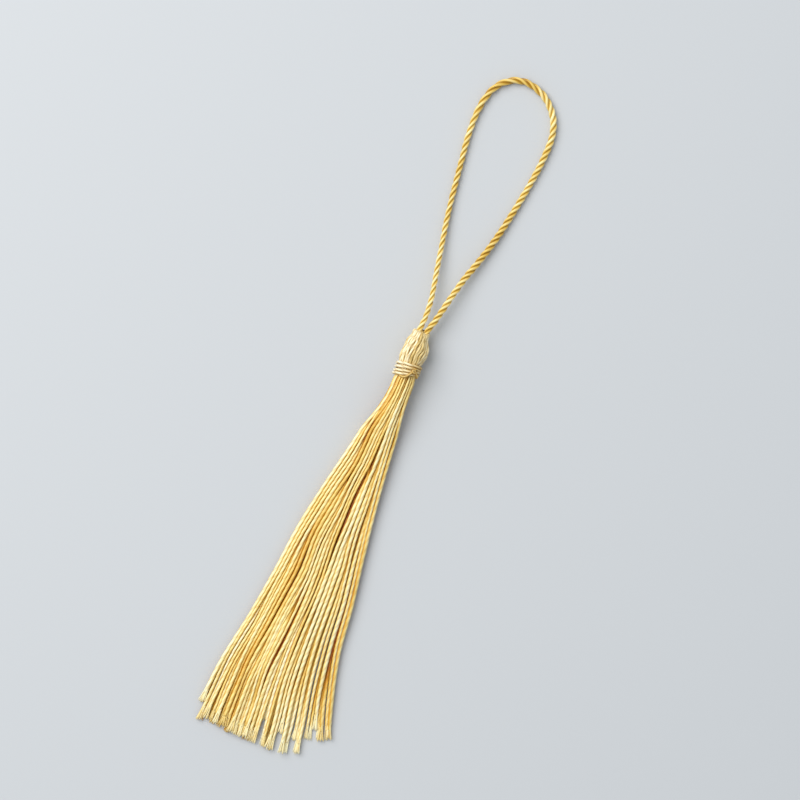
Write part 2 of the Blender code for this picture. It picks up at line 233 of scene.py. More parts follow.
class TubeMesh:
    """Collects tubes and turns them into one mesh with a UV map and a tone for each tube, which
    also holds the tubes' painted light and shade.
    """

    def __init__(self):
        self.corners = []
        self.faces = []
        self.maps = []
        self.tones = []
        self.count = 0

    def add(self, middles, outwards, radii, roll, turns, tone, plain=False, shade=0.0):
        """One tube. outwards point away from what it lies on, radii has a row for each ring,
        roll turns the rings, and turns is how often the yarn has gone round at each ring. shade
        is painted shade, a deeper tone on the tube's outward side; the tube's flanks also get
        painted shade, and its top and underside painted light."""
        rings, sides = radii.shape
        along = unit(numpy.gradient(middles, axis=0))
        outwards = unit(outwards - (outwards * along).sum(axis=1, keepdims=True) * along)
        sideways = numpy.cross(outwards, along)
        angle = math.tau * numpy.arange(sides) / sides + roll[:, None]
        corners = (middles[:, None, :]
                   + (radii * numpy.cos(angle))[:, :, None] * sideways[:, None, :]
                   + (radii * numpy.sin(angle))[:, :, None] * outwards[:, None, :])
        ring = numpy.arange(rings - 1)[:, None]
        side = numpy.arange(sides)[None, :]
        following = (side + 1) % sides
        first = self.count + ring * sides
        walls = numpy.stack([first + side, first + following,
                             first + sides + following, first + sides + side], axis=-1)
        left = numpy.broadcast_to(side / sides, (rings - 1, sides)) * (not plain)
        right = left + (not plain) / sides
        low = numpy.broadcast_to(turns[:-1, None], (rings - 1, sides))
        high = numpy.broadcast_to(turns[1:, None], (rings - 1, sides))
        wall_map = numpy.stack([left, low, right, low, right, high, left, high], axis=-1)
        self.corners.append(corners.reshape(-1, 3))
        self.faces.append(walls.reshape(-1, 4))
        self.maps.append(wall_map.reshape(-1, 4, 2))
        row = numpy.arange(sides // 2 - 1)
        cap = numpy.stack([row, row + 1, sides - 2 - row, sides - 1 - row], axis=-1)
        flat_map = numpy.zeros((len(row), 4, 2))
        self.faces.append(self.count + cap[:, ::-1])
        self.faces.append(self.count + (rings - 1) * sides + cap)
        self.maps.append(flat_map + (0.0, turns[0]))
        self.maps.append(flat_map + (0.0, turns[-1]))
        # painted shade at the flanks and painted light on the top and underside, and painted shade
        # on the outward side where the tube is covered
        painted_flank = FLANK_PAINTED_SHADE * (numpy.abs(numpy.sin(angle)) - TOP_SHARE)
        outer = numpy.reshape(shade, (-1, 1)) * (0.5 + 0.5 * numpy.sin(angle))
        self.tones.append((numpy.reshape(tone, (-1, 1)) + painted_flank - outer).ravel())
        self.count += rings * sides

    def mesh(self, name):
        corners = numpy.concatenate(self.corners)
        faces = numpy.concatenate(self.faces)
        mesh = bpy.data.meshes.new(name)
        mesh.vertices.add(len(corners))
        mesh.vertices.foreach_set("co", corners.ravel())
        mesh.loops.add(faces.size)
        mesh.loops.foreach_set("vertex_index", faces.ravel())
        mesh.polygons.add(len(faces))
        mesh.polygons.foreach_set("loop_start", numpy.arange(len(faces)) * 4)
        mesh.update(calc_edges=True)
        layer = mesh.uv_layers.new(name="round_and_along")
        layer.data.foreach_set("uv", numpy.concatenate(self.maps).ravel())
        tone = mesh.attributes.new("tone", "FLOAT", "POINT")
        tone.data.foreach_set("value", numpy.concatenate(self.tones))
        mesh.validate()
        mesh.shade_smooth()
        return mesh


def yarn_radii(size, flat, roll):
    """Rings of a yarn. size scales a ring, flat says how much wider than high it lies."""
    own = math.tau * numpy.arange(YARN_SIDES) / YARN_SIDES
    lying = own + roll[:, None]
    plies = PLY_SHARE * numpy.cos(YARN_PLIES * own)
    ribs = RIB_SHARE * numpy.cos(YARN_RIBS * own + RIB_TURN)
    wider = 1.0 + flat[:, None] * numpy.cos(2.0 * lying)
    return YARN_RADIUS * size[:, None] * (1.0 + plies + ribs) * wider


def add_wound(tubes, angle, radius, xs, ys, size, flatness, length, tone):
    """A yarn that goes round the bundle's axis, at this angle and radius from it."""
    count = len(angle)
    zs = numpy.maximum(AXIS_HEIGHT + radius * numpy.sin(angle), YARN_RADIUS + LEAST_LIFT)
    middles = numpy.column_stack([xs, ys, zs])
    outwards = numpy.column_stack([numpy.cos(angle), numpy.zeros(count), numpy.sin(angle)])
    turns = numpy.linspace(0.0, length, count) / YARN_TWIST
    roll = math.tau * turns
    radii = yarn_radii(numpy.full(count, size), numpy.full(count, flatness), roll)
    tubes.add(middles, outwards, radii, roll, turns, tone)


def smooth_step(value, start, end):
    share = numpy.clip((value - start) / (end - start), 0.0, 1.0)
    return share * share * (3.0 - 2.0 * share)


def slow_wave(rng, at, length, size):
    """A wave of changing height and length, to take a yarn off its straight line."""
    first = numpy.sin(math.tau * (at / (length * rng.uniform(*LONG_SWING)) + rng.random()))
    second = numpy.sin(math.tau * (at / (length * rng.uniform(*SHORT_SWING)) + rng.random()))
    return size * (LONG_SHARE * first + SHORT_SHARE * second)


# Skirt: the strands settle in the neck

def push_apart(across, height, spacing):
    """One pass that pushes strands apart where their rounded squares overlap."""
    gap_across = across[:, None] - across[None, :]
    gap_height = height[:, None] - height[None, :]
    reach = (gap_across ** 4 + gap_height ** 4) ** 0.25
    numpy.fill_diagonal(reach, 1.0)
    lack = numpy.clip(spacing - reach, 0.0, None) / 2.0
    length = numpy.hypot(gap_across, gap_height) + 1e-9
    across = across + PUSH_SHARE * (lack * gap_across / length).sum(axis=1)
    height = height + PUSH_SHARE * (lack * gap_height / length).sum(axis=1)
    return across, height


def packed_in_neck(spacing):
    """Places of the strands in the collar's round section, as seeds sit in a sunflower."""
    golden_angle = math.pi * (3.0 - math.sqrt(5.0))
    room = COLLAR_RADIUS - spacing * ROOT_MARGIN
    number = numpy.arange(STRAND_COUNT)
    radius = room * numpy.sqrt((number + 0.5) / STRAND_COUNT)
    across = radius * numpy.cos(number * golden_angle)
    height = radius * numpy.sin(number * golden_angle)
    for turn in range(NECK_TURNS):
        across, height = push_apart(across, height, spacing)
        out = numpy.maximum(numpy.hypot(across, height) / room, 1.0)
        across = across / out
        height = height / out
    return across, height + AXIS_HEIGHT


# Skirt: from the neck to the ends

# The cut ends lie in clumps, from the left edge to the right one
# middle across the skirt, width, distance from the crown, strands
END_CLUMPS = [
    (-0.01290, 0.0007, 0.0783, 2),
    (-0.01200, 0.0006, 0.0815, 2),
    (-0.01120, 0.0006, 0.0807, 2),
    (-0.01020, 0.0008, 0.0806, 2),
    (-0.00940, 0.0008, 0.0812, 3),
    (-0.00840, 0.0006, 0.0812, 2),
    (-0.00735, 0.0009, 0.0811, 3),
    (-0.00625, 0.0009, 0.0816, 3),
    (-0.00520, 0.0009, 0.0814, 3),
    (-0.00415, 0.0010, 0.0816, 3),
    (-0.00310, 0.0009, 0.0817, 3),
    (-0.00205, 0.0009, 0.0817, 2),
    (-0.00125, 0.0005, 0.0818, 2),
    (-0.00060, 0.0004, 0.0772, 1),
    (0.00060, 0.0009, 0.0816, 3),
    (0.00200, 0.0009, 0.0818, 3),
    (0.00280, 0.0004, 0.0783, 1),
    (0.00345, 0.0004, 0.0768, 1),
    (0.00450, 0.0010, 0.0814, 3),
    (0.00560, 0.0005, 0.0789, 1),
    (0.00680, 0.0006, 0.0809, 2),
    (0.00740, 0.0003, 0.0779, 1),
    (0.00810, 0.0005, 0.0780, 1),
    (0.00880, 0.0005, 0.0754, 1),
    (0.01020, 0.0008, 0.0770, 2),
    (0.01150, 0.0005, 0.0767, 1),
    (0.01220, 0.0005, 0.0764, 1),
]
# distance from the crown, height of the topmost strands' middles, squareness of the section
SKIRT_TOP = [
    (0.0096, 0.0046, 2.0),
    (0.0160, 0.0036, 2.4),
    (0.0240, 0.0027, 3.0),
    (0.0330, 0.0020, 4.0),
    (0.0420, 0.0016, 5.0),
    (0.0600, 0.0012, 6.0),
    (0.0830, 0.0010, 6.0),
]
# Partings between the upper strands, with painted shade beneath them
# distances from the crown where it starts and ends, strands to its left, width
PARTINGS = [
    (0.0190, 0.0480, 35, 0.00046),
    (0.0270, 0.0440, 48, 0.00024),
    (0.0440, 0.0700, 15, 0.00030),
    (0.0500, 0.0730, 28, 0.00034),
]
PARTING_SHADE = 0.0006  # how far to its sides the strands beneath get painted shade
PARTING_PAINTED_SHADE = 0.30  # how much deeper that painted shade makes them
# Strands are paler or deeper in groups, and deeper at the right edge as painted shade
# share of the skirt's width from the left edge, how much paler
TONES_AND_SHADE_ACROSS = [
    (0.00, 0.00),
    (0.12, 0.02),
    (0.30, -0.28),
    (0.45, -0.12),
    (0.60, 0.02),
    (0.85, 0.12),
    (1.00, -0.10),
]
SKIRT_PIECES = ("skirt_left", "skirt_middle", "skirt_right")
ROOT_START = 0.0072  # from the crown; the strands start under the binding
ROOT_SQUEEZE = 0.74  # of their places in the collar
END_SCATTER = 0.08  # how far an end strays, of its clump's width
CUT_SPREAD = 0.00035  # how much shorter some strands are cut
FANNED_BY = 0.021  # by here the strands have left the neck's round section
DRIFT = (0.026, 0.072)  # here the strands crowd as their ends do
CROWD = 13  # strands over which that is evened out
SPREAD_FROM = (0.066, 0.071)  # from here on a strand goes to the place of its end
SPREAD_BY = 0.0835
UNEVEN_ORDER = 0.03  # strays from the even order in which the strands come up
NECK_COLUMN = 6  # strands above each other in the neck
COMES_UP = 0.35  # shown so far, a strand has come to its place between others
SHOWN_OVER = (0.004, 0.009)  # half the length in which a strand comes up between others
SUNK = 0.85  # of the depth at which round strands would lie
HIDDEN_FROM = 1.2  # layers down where the strands are piled up
WANDER = (0.040, 0.00006)  # slow waves: length, how far a strand strays to a side
UNEVEN = (0.040, 0.00008)  # and up and down
LOOSE_OVER = (0.012, 0.030)  # here it gets loose enough to stray
CALM_OVER = (0.062, 0.078)  # and here it strays less,
CALMED = 0.8  # by this share
LAID_STEP = 0.0005
LAID_OVER = (0.060, 0.078)  # here the strands come to lie on each other
BRIDGED = 13  # steps that a stiff strand bridges where it crosses others
LAID_SHARE = 0.75  # of the heights of round strands that lie on each other
PRESSED = 0.92  # of two strands' thickness where one lies on the other
LEAST_LIFT = 0.00004  # between a yarn and the surface

# A strand's own form
THINNEST = 0.76  # of the spacing
THICKEST = 1.22
FULLNESS = 1.10
SWELL = (0.016, 0.05)  # slow waves: length, how much thicker and thinner it gets
FLATTENS = (0.024, 0.07)  # and how much flatter and rounder
FLATNESS = 0.07
END_TAPER = 0.4  # how much thinner it ends, inside its brush
END_TAPER_LENGTH = 0.0012
TWIST_RANGE = (0.85, 1.25)  # of the yarn's usual twist
TILT = 1.4  # how far the outer strands' tops face sideways
LIT_TILT = 0.7  # on the side that the light comes from
DIRECTION_RINGS = 6  # last rings that a brush goes straight on from

# A strand's tone and its painted shade
STRAND_TONE = 0.76
STRAND_TONES = 0.17  # how much the strands differ
TONE_WAVE = (0.02, 0.08)  # length, how much it changes along a strand
END_TONE = 0.12  # how much paler the cut ends are
PALER_OVER = (0.068, 0.080)
COVERED_PAINTED_SHADE = 0.78  # painted shade: how much deeper a strand is that others cover
COVER_RIGHT_ABOVE = 1.6  # how far one right above covers it; 1 is all of it
COVER_FALL = 1.5  # how much less for each thickness that it lies aside
OPENED_OVER = (0.066, 0.080)  # here the hidden strands come out from under the others
OPEN_SIDE = (0.74, 0.92)  # of the half width; strands further out get no painted shade,
THIN_FROM = (0.035, 0.055)  # up to where the skirt is thin
NECK_COVERED = 0.35  # share of the painted shade just below the binding
SPREADS = (0.012, 0.028)  # here all of it comes in

# The brush at a strand's end, where its plies have opened into bundles of filaments
BRUSH_LENGTH = 0.0030
TUCKED = 0.0010  # how far it starts inside the yarn
BRUSH_RINGS = 8
BRUSH_SIDES = 6
BRUSH_BUNDLES = (7, 10)  # from this many up to one fewer than this
# in thicknesses of the strand
BRUSH_ROOT = 0.36  # half the brush's width where it starts
BRUSH_SPREAD = (0.5, 1.1)  # how much wider it ends
BUNDLE_RADIUS = (0.10, 0.15)
# as shares
BUNDLE_SCATTER = 0.15  # of half the brush's width
SHORTEST_BUNDLE = 0.84  # of the brush's length
BRUSH_CURVE = 1.8  # above 1 it opens mostly at its tip
BRUSH_RAISED = 0.8  # how far a bundle may lie up or down
BRUSH_FLATTER = 0.4  # how much flatter the tip is
BUNDLE_TAPER = 0.3
BUNDLE_TWIST = 0.3  # turns
BUNDLE_TONE = 0.05  # how much paler the bundles are than the strand
BUNDLE_TONES = 0.08  # how much they differ
BRUSH_SHADE = 0.5  # of the strand's painted shade


def end_places(rng):
    """Place across and distance from the crown of each strand's end, from left to right."""
    places = []
    cuts = []
    for middle, width, distance, count in END_CLUMPS:
        for number in range(count):
            share = (number + 0.5) / count - 0.5
            places.append(middle + width * (share + rng.uniform(-END_SCATTER, END_SCATTER)))
            cuts.append(distance - abs(rng.normal(0.0, CUT_SPREAD)))
    return numpy.array(places), numpy.array(cuts)


def bridge(heights):
    """The lowest line over these heights that a stiff strand can follow."""
    half = BRIDGED // 2
    padded = numpy.pad(heights, half, mode="edge")
    highest = numpy.lib.stride_tricks.sliding_window_view(padded, BRIDGED).max(axis=1)
    padded = numpy.pad(highest, half, mode="edge")
    return numpy.lib.stride_tricks.sliding_window_view(padded, BRIDGED).mean(axis=1)


def lay_strands(across, thickness, order):
    """Heights of the strands, laid one after the other on the surface and on each other."""
    heights = numpy.zeros(across.shape)
    laid = []
    for strand in order:
        rest = thickness[:, strand] / 2.0
        for other in laid:
            reach = PRESSED * (thickness[:, strand] + thickness[:, other]) / 2.0
            gap = across[:, strand] - across[:, other]
            lift = numpy.sqrt(numpy.maximum(reach ** 2 - gap ** 2, 0.0))
            over = heights[:, other] + lift
            rest = numpy.where(numpy.abs(gap) < reach, numpy.maximum(rest, over), rest)
        heights[:, strand] = bridge(rest)
        laid.append(strand)
    return heights


def coming_up(rng):
    """The order in which the strands come up to the top, spread evenly over the skirt."""
    golden = (math.sqrt(5.0) - 1.0) / 2.0
    stray = rng.normal(0.0, UNEVEN_ORDER, STRAND_COUNT)
    key = (numpy.arange(STRAND_COUNT) * golden + stray) % 1.0
    key[[0, -1]] = -1.0
    return numpy.argsort(numpy.argsort(key))


def neck_places(turn, spacing):
    """Places of the strands in the neck: side by side, and those that come up first on top."""
    packed_across, packed_height = packed_in_neck(spacing)
    top = AXIS_HEIGHT + numpy.sqrt(COLLAR_RADIUS ** 2 - packed_across ** 2)
    from_left = numpy.argsort(packed_across)
    across = numpy.zeros(STRAND_COUNT)
    height = numpy.zeros(STRAND_COUNT)
    for first in range(0, STRAND_COUNT, NECK_COLUMN):
        strands = numpy.arange(first, min(first + NECK_COLUMN, STRAND_COUNT))
        places = from_left[strands]
        places = places[numpy.argsort((top - packed_height)[places])]
        strands = strands[numpy.argsort(turn[strands])]
        across[strands] = packed_across[places]
        height[strands] = packed_height[places]
    return across, height


def crowd(shares):
    """For each strand, the place that its neighbours have on average."""
    sides = ((0, 0),) * (shares.ndim - 1) + ((CROWD // 2, CROWD // 2),)
    padded = numpy.pad(shares, sides, mode="edge")
    windows = numpy.lib.stride_tricks.sliding_window_view(padded, CROWD, axis=-1)
    return windows.mean(axis=-1)


def fan_out(rng, at, width, spacing, size, turn, ends):
    """Shares of the skirt's width where the strands lie, how far each one shows, and how much
    painted shade it gets beneath a parting. Those that show lie side by side, and the hidden ones
    run straight to their ends beneath them."""
    never = TASSEL_LENGTH + SHOWN_OVER[1]
    shows_at = numpy.interp(turn + 1.0, width / spacing, at, right=never)
    half = rng.uniform(*SHOWN_OVER, STRAND_COUNT)
    shown = smooth_step(at[:, None], shows_at - half, shows_at + half)
    taken = shown * size
    places = numpy.cumsum(taken, axis=1) - taken / 2.0
    total = taken.sum(axis=1)
    openings = []
    for starts, ends_at, after, wide in PARTINGS:
        along = numpy.clip((at - starts) / (ends_at - starts), 0.0, 1.0)
        strength = numpy.sin(math.pi * along) ** 0.5
        gap = strength * wide / spacing
        openings.append((strength, taken[:, :after].sum(axis=1) + gap / 2.0))
        places[:, after:] += gap[:, None]
        total += gap
    above = places / total[:, None]
    straight = crowd(ends)
    drift = (straight - crowd(above)) * smooth_step(at, *DRIFT)[:, None]
    above += drift
    shade = numpy.zeros(above.shape)
    for (strength, middle), parting in zip(openings, PARTINGS):
        line = middle / total + drift[:, parting[2]]
        off = (straight - line[:, None]) * width[:, None]
        shade += strength[:, None] * numpy.exp(-(off / PARTING_SHADE) ** 2)
    share = straight + (above - straight) * smooth_step(shown, 0.0, COMES_UP)
    return share, shown, shade * (1.0 - shown)


def fan_heights(at, across, left, right, spacing, thickness, turn, shown):
    """Heights of the strands under the skirt's rounded top."""
    top = numpy.array(SKIRT_TOP)
    highest, squareness = smooth_values(at, top[:, 0], top[:, 1:]).T[:, :, None]
    half = (right - left)[:, None] / 2.0
    off = numpy.abs(across - (left + right)[:, None] / 2.0) / half
    dome = (1.0 - numpy.minimum(off, 1.0) ** squareness) ** (1.0 / squareness)
    ground = thickness / 2.0
    room = (right - left) / spacing
    layers = numpy.maximum(turn[None, :] / room[:, None] - HIDDEN_FROM, 0.0)
    touching = numpy.sqrt(1.0 - ((1.0 + shown) / 2.0) ** 2)
    depth = SUNK * thickness * (touching + layers)
    return numpy.maximum(ground + (highest - ground) * dome - depth, ground)


def how_covered(across, heights, thickness):
    """From 0 for a strand on top to 1 for one that lies a whole strand below its neighbours."""
    gap = numpy.abs(across[:, :, None] - across[:, None, :])
    above = heights[:, None, :] - heights[:, :, None]
    over = numpy.clip(COVER_RIGHT_ABOVE - COVER_FALL * gap / thickness[:, :, None], 0.0, 1.0)
    return numpy.clip((over * above).max(axis=2) / thickness, 0.0, 1.0)


def skirt_paths(rng):
    """Distances from the crown and, for every strand from left to right, its place across, height,
    thickness, how far it is covered for its painted shade, where it ends, then the skirt's two
    edges."""
    outline = numpy.array(SKIRT_OUTLINE)
    at = numpy.arange(outline[0, 0], TASSEL_LENGTH + LAID_STEP, LAID_STEP)
    left, right, spacing = smooth_values(at, outline[:, 0], outline[:, 1:]).T
    width = (right - left)[:, None]
    size = rng.uniform(THINNEST, THICKEST, STRAND_COUNT)
    thickness = spacing[:, None] * size
    end_across, cuts = end_places(rng)
    end_left, end_right = smooth_values(cuts, outline[:, 0], outline[:, 1:3]).T
    end_share = (end_across - end_left) / (end_right - end_left)
    turn = coming_up(rng)
    neck_across, neck_height = neck_places(turn, spacing[0])
    share, shown, shade = fan_out(rng, at, right - left, spacing, size, turn, end_share)
    travel = smooth_step(at[:, None], rng.uniform(*SPREAD_FROM, STRAND_COUNT), SPREAD_BY)
    share += (end_share - share) * travel
    across = left[:, None] + width * share
    loose = smooth_step(at, *LOOSE_OVER) * (1.0 - CALMED * smooth_step(at, *CALM_OVER))
    for strand in range(STRAND_COUNT):
        across[:, strand] += loose * slow_wave(rng, at, *WANDER)
    low = left[:, None] + thickness / 2.0
    high = right[:, None] - thickness / 2.0
    across = numpy.clip(across, low, high)
    fanned = smooth_step(at, at[0], FANNED_BY)[:, None]
    across = neck_across * (1.0 - fanned) + across * fanned
    heights = fan_heights(at, across, left, right, spacing, thickness, turn, shown)
    for strand in range(STRAND_COUNT):
        heights[:, strand] += loose * slow_wave(rng, at, *UNEVEN)
    ground = thickness / 2.0
    laid = ground + LAID_SHARE * (lay_strands(across, thickness, numpy.argsort(-turn)) - ground)
    heights += (laid - heights) * smooth_step(at, *LAID_OVER)[:, None]
    heights = neck_height * (1.0 - fanned) + heights * fanned
    # hidden strands get the full painted shade until they come out from under the others
    hidden = (1.0 - shown) * (1.0 - smooth_step(at, *OPENED_OVER))[:, None]
    covered = numpy.maximum(how_covered(across, heights, thickness), hidden)
    covered = covered + shade * PARTING_PAINTED_SHADE / COVERED_PAINTED_SHADE
    aside = numpy.abs(2.0 * (across - left[:, None]) / width - 1.0)
    in_pile = 1.0 - smooth_step(at, *THIN_FROM)[:, None]
    covered = covered * (1.0 - in_pile * smooth_step(aside, *OPEN_SIDE))
    below_neck = NECK_COVERED + (1.0 - NECK_COVERED) * smooth_step(at, *SPREADS)
    covered = covered * below_neck[:, None]
    return at, across, heights, thickness, covered, cuts, numpy.column_stack([left, right])


def add_brush(tubes, rng, end, direction, thickness, tone):
    """The opened end of a yarn: a flat fan of filament bundles, cut off unevenly."""
    bundles = rng.integers(*BRUSH_BUNDLES)
    spread = thickness * rng.uniform(*BRUSH_SPREAD)
    sideways = unit(numpy.cross((0.0, 0.0, 1.0), direction))
    along = numpy.linspace(0.0, 1.0, BRUSH_RINGS)
    upwards = numpy.tile((0.0, 0.0, 1.0), (BRUSH_RINGS, 1))
    for bundle in range(bundles):
        scatter = rng.uniform(-BUNDLE_SCATTER, BUNDLE_SCATTER)
        share = 2.0 * (bundle + 0.5) / bundles - 1.0 + scatter
        length = BRUSH_LENGTH * rng.uniform(SHORTEST_BUNDLE, 1.0)
        out = share * (BRUSH_ROOT * thickness + spread / 2.0 * along ** BRUSH_CURVE)
        middles = end + (along * length)[:, None] * direction + out[:, None] * sideways
        round_room = math.sqrt(max(1.0 - share ** 2, 0.0))
        raised = rng.uniform(-BRUSH_RAISED, BRUSH_RAISED) * round_room
        middles[:, 2] += BRUSH_ROOT * thickness * raised * (1.0 - BRUSH_FLATTER * along)
        radius = thickness * rng.uniform(*BUNDLE_RADIUS) * (1.0 - BUNDLE_TAPER * along ** 2)
        middles[:, 2] = numpy.maximum(middles[:, 2], radius + LEAST_LIFT)
        radii = numpy.repeat(radius[:, None], BRUSH_SIDES, axis=1)
        turns = rng.random() + along * BUNDLE_TWIST
        own_tone = tone + rng.normal(BUNDLE_TONE, BUNDLE_TONES)
        tubes.add(middles, upwards, radii, 0.0 * along, turns, own_tone, plain=True)


def make_skirt(material):
    rng = numpy.random.default_rng(BUILD_SEED)
    at, across, heights, thickness, covered, cuts, edges = skirt_paths(rng)
    squeezed = (heights[:1] - AXIS_HEIGHT) * ROOT_SQUEEZE + AXIS_HEIGHT
    at = numpy.concatenate([[ROOT_START], at])
    across = numpy.vstack([across[:1] * ROOT_SQUEEZE, across])
    heights = numpy.vstack([squeezed, heights])
    thickness = numpy.vstack([thickness[:1] * ROOT_SQUEEZE, thickness])
    covered = numpy.vstack([covered[:1], covered])
    edges = numpy.vstack([edges[:1], edges])
    meshes = [TubeMesh() for name in SKIRT_PIECES]
    for strand in range(STRAND_COUNT):
        tube_end = cuts[strand] + TUCKED - BRUSH_LENGTH
        count = int((tube_end - ROOT_START) / YARN_STEP) + 1
        stops = numpy.linspace(ROOT_START, tube_end, count)
        xs = smooth_values(stops, at, across[:, strand])
        zs = smooth_values(stops, at, heights[:, strand])
        size = FULLNESS * numpy.interp(stops, at, thickness[:, strand]) / STRAND_SPACING
        size *= 1.0 + slow_wave(rng, stops, *SWELL)
        size *= 1.0 - END_TAPER * smooth_step(stops, tube_end - END_TAPER_LENGTH, tube_end)
        flat = FLATNESS + slow_wave(rng, stops, *FLATTENS)
        turns = stops / (YARN_TWIST * rng.uniform(*TWIST_RANGE)) + rng.random()
        roll = math.tau * turns
        radii = yarn_radii(size, flat, roll)
        zs = numpy.maximum(zs, radii.max(axis=1) + LEAST_LIFT)
        middles = numpy.column_stack([xs, CROWN_Y - stops, zs])
        aside = (2.0 * (xs - numpy.interp(stops, at, edges[:, 0]))
                 / numpy.interp(stops, at, edges[:, 1] - edges[:, 0]) - 1.0)
        tilt = numpy.where(aside > 0.0, TILT, LIT_TILT)
        upwards = numpy.column_stack([tilt * aside ** 3, numpy.zeros(count), numpy.ones(count)])
        own_tone = STRAND_TONE + rng.normal(0.0, STRAND_TONES)
        # tones of the groups across the skirt, with painted shade at its right edge
        own_tone += numpy.interp(strand / STRAND_COUNT, *numpy.array(TONES_AND_SHADE_ACROSS).T)
        tone = own_tone + slow_wave(rng, stops, *TONE_WAVE)
        tone += END_TONE * smooth_step(stops, *PALER_OVER)
        # painted shade where others cover the strand or a parting lies above it
        shade = COVERED_PAINTED_SHADE * numpy.interp(stops, at, covered[:, strand])
        tubes = meshes[strand * len(SKIRT_PIECES) // STRAND_COUNT]
        tubes.add(middles, upwards, radii, roll, turns, tone, shade=shade)
        direction = unit(middles[-1] - middles[-DIRECTION_RINGS])
        start = middles[-1] - TUCKED * direction
        end_tone = tone[-1] - BRUSH_SHADE * shade[-1]
        add_brush(tubes, rng, start, direction, thickness[-1, strand], end_tone)
    for name, tubes in zip(SKIRT_PIECES, meshes):
        place(name, tubes.mesh(name), material)
    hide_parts("head_and_skirt")


# Head

# distance from the crown, distance of a folded yarn's middle from the head's axis
HEAD_PROFILE = [
    (0.0016, 0.00042),
    (0.0007, 0.00052),
    (0.0001, 0.00070),
    (-0.0001, 0.00094),
    (0.0001, 0.00122),
    (0.0007, 0.00160),
    (0.0016, 0.00196),
    (0.0027, 0.00218),
    (0.0038, 0.00226),
    (0.0047, 0.00218),
    (0.0055, 0.00198),
    (0.0062, 0.00176),
    (0.0074, 0.00160),
]
# yarns in a layer, share of the profile's distance, size, how far it has sunk into the crown
HEAD_LAYERS = [
    (27, 1.00, 0.88, 0.0000),
    (24, 0.84, 1.00, 0.0000),
    (16, 0.62, 1.10, 0.0001),
    (8, 0.36, 1.00, -0.0003),
]
RIGHT_IN = 0.30  # how much narrower the crown is towards the right
RIGHT_IN_OVER = (0.0010, 0.0030)  # here that fades
HEAD_SWAY = (0.0052, 0.07)  # slow waves: length, radians that a yarn sways round the head,
HEAD_UNEVEN = (0.0052, 0.00008)  # how far it strays in and out,
HEAD_SWELL = (0.004, 0.06)  # and how much thicker and thinner it gets
SWAYS_OVER = (0.001, 0.004)  # along the yarn, where it gets free to sway
HEAD_FLATNESS = 0.05
HEAD_SHIFT = -0.00016  # of the neck, to the side
CROWN_TILT = 0.0003  # how much further down the crown's upper yarns turn over
CROWN_TILT_OVER = (0.0008, 0.0030)  # here that fades
CORD_ROOM = 0.55  # how much wider than high the crown's hole is
CORD_ROOM_OVER = (0.0009, 0.0017)  # from the axis, where that fades
HOLE_RADIUS = 0.0014  # from the axis; inside it the yarns' tops
HOLE_FACING = 1.2  # face the loop this much for each unit sideways
SHOULDER_FACING = 0.1  # and outside it this much
HEAD_SPACING = 0.2  # how far a yarn strays from its place, in spacings
HEAD_DEPTHS = 0.02  # and in or out, of its distance from the axis
HEAD_TONE = 0.72
HEAD_TONES = 0.15  # how much its yarns differ
BINDING_SLANT = 0.12  # rise across the width
# Distances from the crown over which the slant comes in and goes out
SLANT_RANGE = (0.0030, 0.0052, 0.0092, 0.0102)


def slant_at(distance):
    """How far the bundle is sheared at this distance from the crown."""
    starts, full, fades, gone = SLANT_RANGE
    share = smooth_step(distance, starts, full) - smooth_step(distance, fades, gone)
    return BINDING_SLANT * share


def head_yarn(tubes, rng, angle, shrink, size, sunk, tone):
    """One folded yarn, from the hole in the crown over the shoulder to the neck."""
    length = smooth_route(HEAD_PROFILE, 2)[1]
    count = int(length / WOUND_STEP) + 1
    profile = smooth_route(HEAD_PROFILE, count)[0]
    distance = profile[:, 0] + sunk
    radius = profile[:, 1] * shrink
    to_right = math.cos(angle) > 0.0
    radius = radius * (1.0 - RIGHT_IN * to_right * math.cos(angle)
                       * (1.0 - smooth_step(distance, *RIGHT_IN_OVER)))
    reached = numpy.linspace(0.0, length, count)
    free = smooth_step(reached, *SWAYS_OVER)
    turned = angle + free * slow_wave(rng, reached, *HEAD_SWAY)
    radius = radius + free * slow_wave(rng, reached, *HEAD_UNEVEN)
    widen = 1.0 + CORD_ROOM * (1.0 - smooth_step(profile[:, 1], *CORD_ROOM_OVER))
    shift = HEAD_SHIFT * smooth_step(distance, *SLANT_RANGE[:2])
    xs = shift + radius * numpy.cos(turned) * widen
    zs = AXIS_HEIGHT + radius * numpy.sin(turned)
    ys = CROWN_Y - distance + slant_at(distance) * xs
    upper = numpy.maximum(numpy.sin(turned), 0.0)
    ys -= CROWN_TILT * upper * (1.0 - smooth_step(distance, *CROWN_TILT_OVER))
    turns = reached / YARN_TWIST + rng.random()
    roll = math.tau * turns
    full_size = size * (1.0 + slow_wave(rng, reached, *HEAD_SWELL))
    radii = yarn_radii(full_size, numpy.full(count, HEAD_FLATNESS), roll)
    zs = numpy.maximum(zs, radii.max(axis=1) + LEAST_LIFT)
    middles = numpy.column_stack([xs, ys, zs])
    facing = numpy.where(radius < HOLE_RADIUS * shrink, HOLE_FACING, SHOULDER_FACING)
    outwards = numpy.column_stack([numpy.cos(turned), facing, numpy.sin(turned)])
    tubes.add(middles, outwards, radii, roll, turns, tone)


def make_head(material):
    rng = numpy.random.default_rng(BUILD_SEED + 1)
    tubes = TubeMesh()
    for count, shrink, size, sunk in HEAD_LAYERS:
        for index in range(count):
            angle = math.tau * (index + rng.uniform(-HEAD_SPACING, HEAD_SPACING)) / count
            near = shrink * (1.0 + rng.uniform(-HEAD_DEPTHS, HEAD_DEPTHS))
            # inner layers lie under the outer ones and get a deeper tone: painted shade
            tone = HEAD_TONE * shrink + rng.normal(0.0, HEAD_TONES)
            head_yarn(tubes, rng, angle, near, size, sunk, tone)
    place("folded_head", tubes.mesh("folded_head"), material)


# Binding

